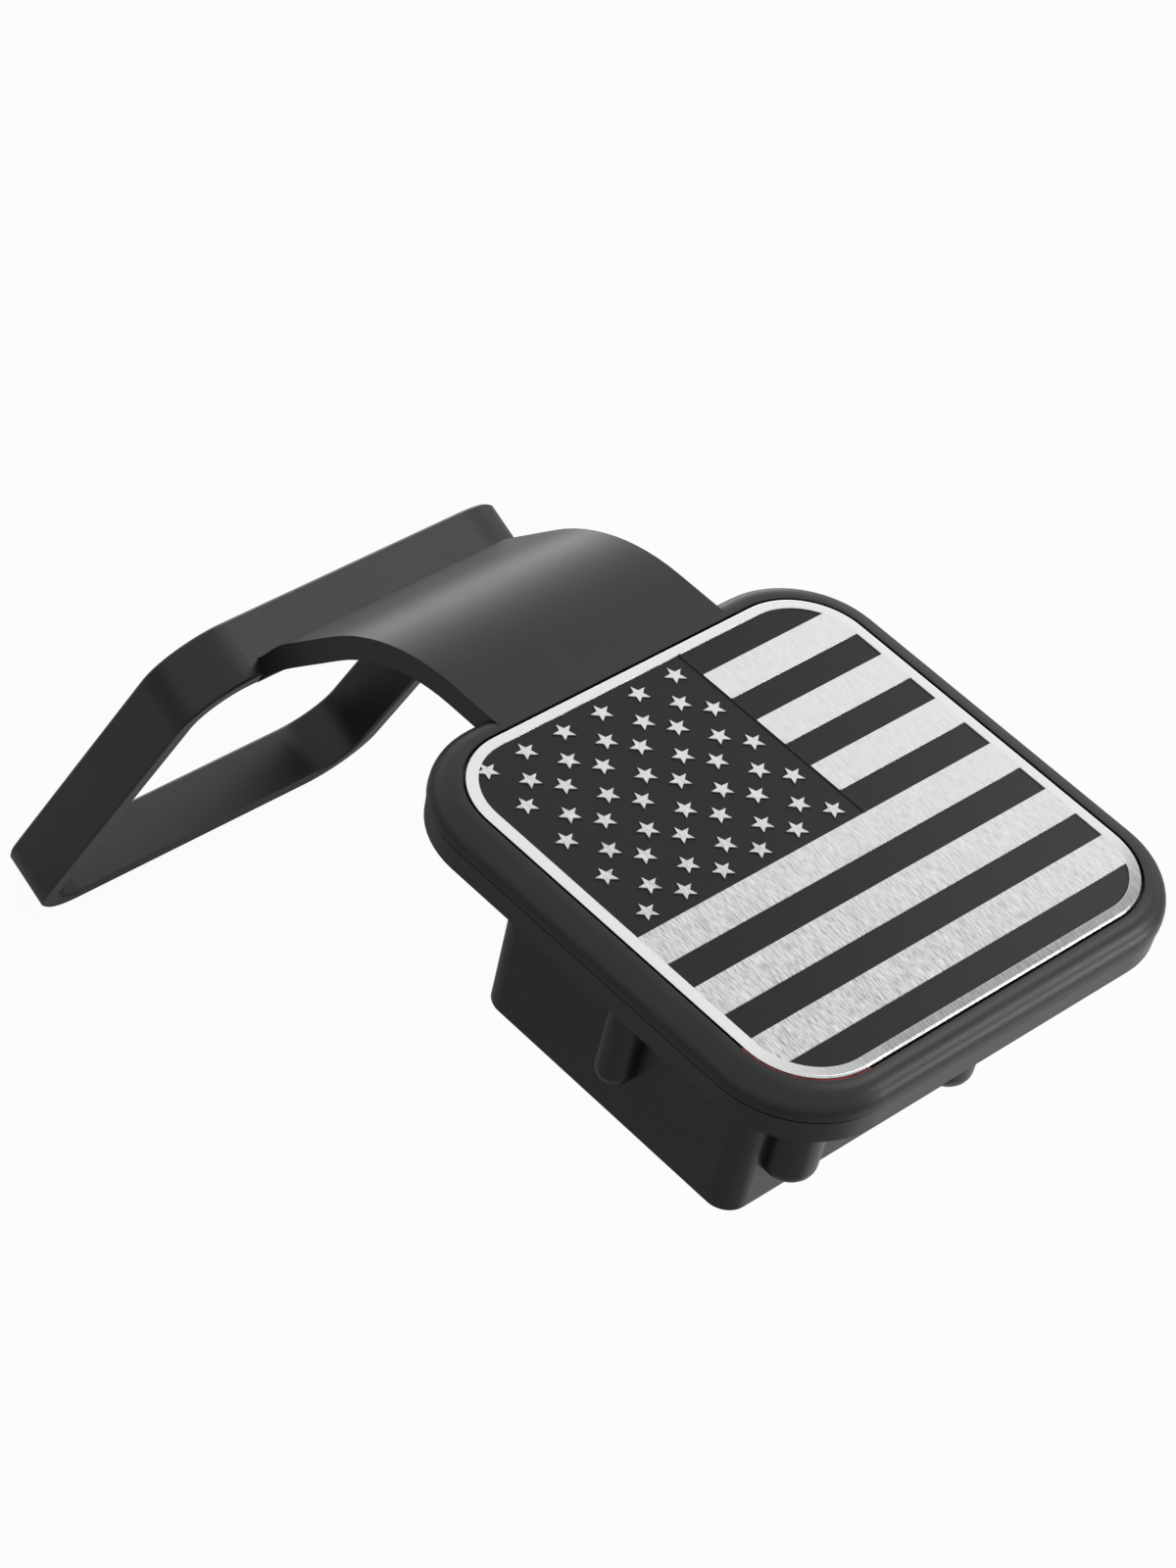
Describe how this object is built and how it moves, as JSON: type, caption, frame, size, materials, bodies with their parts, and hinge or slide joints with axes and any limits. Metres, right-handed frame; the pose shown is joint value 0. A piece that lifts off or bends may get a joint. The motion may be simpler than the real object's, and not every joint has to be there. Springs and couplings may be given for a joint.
{
  "type": "hitch receiver cover",
  "caption": "Square rubber plug that closes an open hitch receiver tube, with a flag emblem plate in its face and a tether strap ending in a square loop.",
  "frame": {"origin": "centre of the back of the face, on the plane that seats on the end of the receiver tube", "axes": "+Z out of the face, +Y towards the tether strap and loop, +X across the stripes; the plug points along -Z"},
  "size_m": [0.071, 0.1397, 0.0833],
  "materials": {
    "rubber": "satin moulded rubber",
    "plate": "brushed, with a bright rim",
    "enamel": "satin dark enamel",
    "tape": "matt adhesive film"
  },
  "bodies": {
    "root": {"rubber_body": "rubber", "emblem_plate": "plate", "canton_enamel": "enamel", "stripe_enamel": "enamel", "adhesive_tape": "tape"}
  },
  "joints": []
}
